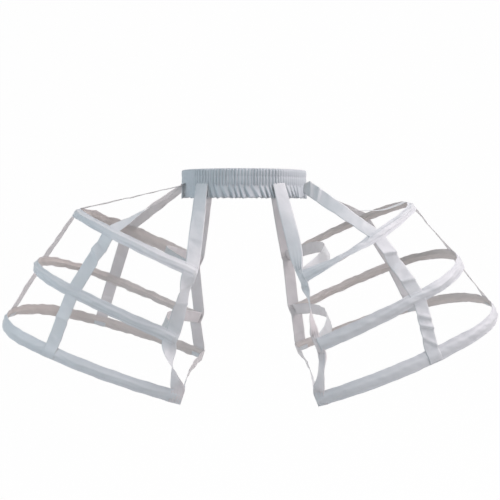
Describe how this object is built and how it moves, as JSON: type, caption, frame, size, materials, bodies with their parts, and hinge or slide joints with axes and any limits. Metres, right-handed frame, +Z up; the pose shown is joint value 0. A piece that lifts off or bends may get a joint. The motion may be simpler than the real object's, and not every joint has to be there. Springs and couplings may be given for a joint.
{
  "type": "crinoline cage",
  "caption": "Side-hoop crinoline cage: a gathered elastic waistband with a frill carries open panniers of boned ribbon hoops hung on flat tapes.",
  "frame": {"origin": "middle of the waist, halfway up the elastic part of the waistband", "axes": "+X across the body towards the viewer's right, +Y to the back, +Z up"},
  "size_m": [0.963, 0.3088, 0.4157],
  "materials": {
    "gathered_satin": "white polyester satin ribbon, shirred over elastic",
    "elastic_webbing": "woven white elastic",
    "casing_ribbon": "white polyester ribbon tube, sewn along both edges",
    "tape_ribbon": "white satin ribbon, creased from packing",
    "boning": "flat white nylon boning",
    "boning_tips": "dipped plastic tips"
  },
  "bodies": {
    "root": {"waistband": "gathered_satin", "waist_elastic": "elastic_webbing", "left_top_casing": "casing_ribbon", "left_top_bone": "boning", "left_top_bone_tips": "boning_tips", "left_top_hip_strap": "tape_ribbon", "left_middle_casing": "casing_ribbon", "left_middle_bone": "boning", "left_middle_bone_tips": "boning_tips", "left_middle_hip_strap": "tape_ribbon", "left_bottom_casing": "casing_ribbon", "left_bottom_bone": "boning", "left_bottom_bone_tips": "boning_tips", "left_bottom_hip_strap": "tape_ribbon", "left_front_tape": "tape_ribbon", "left_front_side_tape": "tape_ribbon", "left_side_tape": "tape_ribbon", "left_back_side_tape": "tape_ribbon", "left_back_tape": "tape_ribbon", "right_top_casing": "casing_ribbon", "right_top_bone": "boning", "right_top_bone_tips": "boning_tips", "right_top_hip_strap": "tape_ribbon", "right_middle_casing": "casing_ribbon", "right_middle_bone": "boning", "right_middle_bone_tips": "boning_tips", "right_middle_hip_strap": "tape_ribbon", "right_bottom_casing": "casing_ribbon", "right_bottom_bone": "boning", "right_bottom_bone_tips": "boning_tips", "right_bottom_hip_strap": "tape_ribbon", "right_front_tape": "tape_ribbon", "right_front_side_tape": "tape_ribbon", "right_side_tape": "tape_ribbon", "right_back_side_tape": "tape_ribbon", "right_back_tape": "tape_ribbon"}
  },
  "joints": []
}
